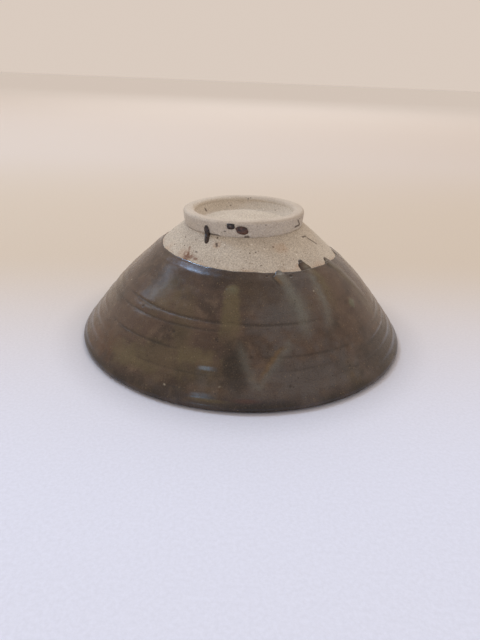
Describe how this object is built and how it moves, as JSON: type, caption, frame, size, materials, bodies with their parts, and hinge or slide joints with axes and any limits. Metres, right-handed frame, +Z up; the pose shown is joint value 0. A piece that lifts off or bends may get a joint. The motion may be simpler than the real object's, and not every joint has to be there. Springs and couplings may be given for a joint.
{
  "type": "matcha bowl",
  "caption": "Shallow flared tea bowl of speckled stoneware on a low foot ring, brown-olive glaze stopping short of the foot, standing mouth down.",
  "frame": {"origin": "centre of the plane that the lip rests on, the bowl standing mouth down", "axes": "+Z up the bowl's axis from the lip through the foot ring; +X to the viewer's right; -Y towards the viewer"},
  "size_m": [0.15, 0.15, 0.0582],
  "materials": {
    "stoneware": "matt, sandy, iron-speckled",
    "brown_glaze": "satin-gloss brown-olive glaze",
    "inner_glaze": "satin-gloss brown-olive glaze",
    "lip_glaze": "glossy dark brown, doubled coat",
    "ash_glaze": "glossy olive to grey-green runs",
    "iron_glaze": "glossy near-black drops"
  },
  "bodies": {
    "root": {"bowl_body": "stoneware", "foot_ring": "stoneware", "outer_glaze": "brown_glaze", "inner_glaze": "inner_glaze", "lip_glaze": "lip_glaze", "glaze_runs": "ash_glaze", "glaze_drops": "iron_glaze"}
  },
  "joints": []
}
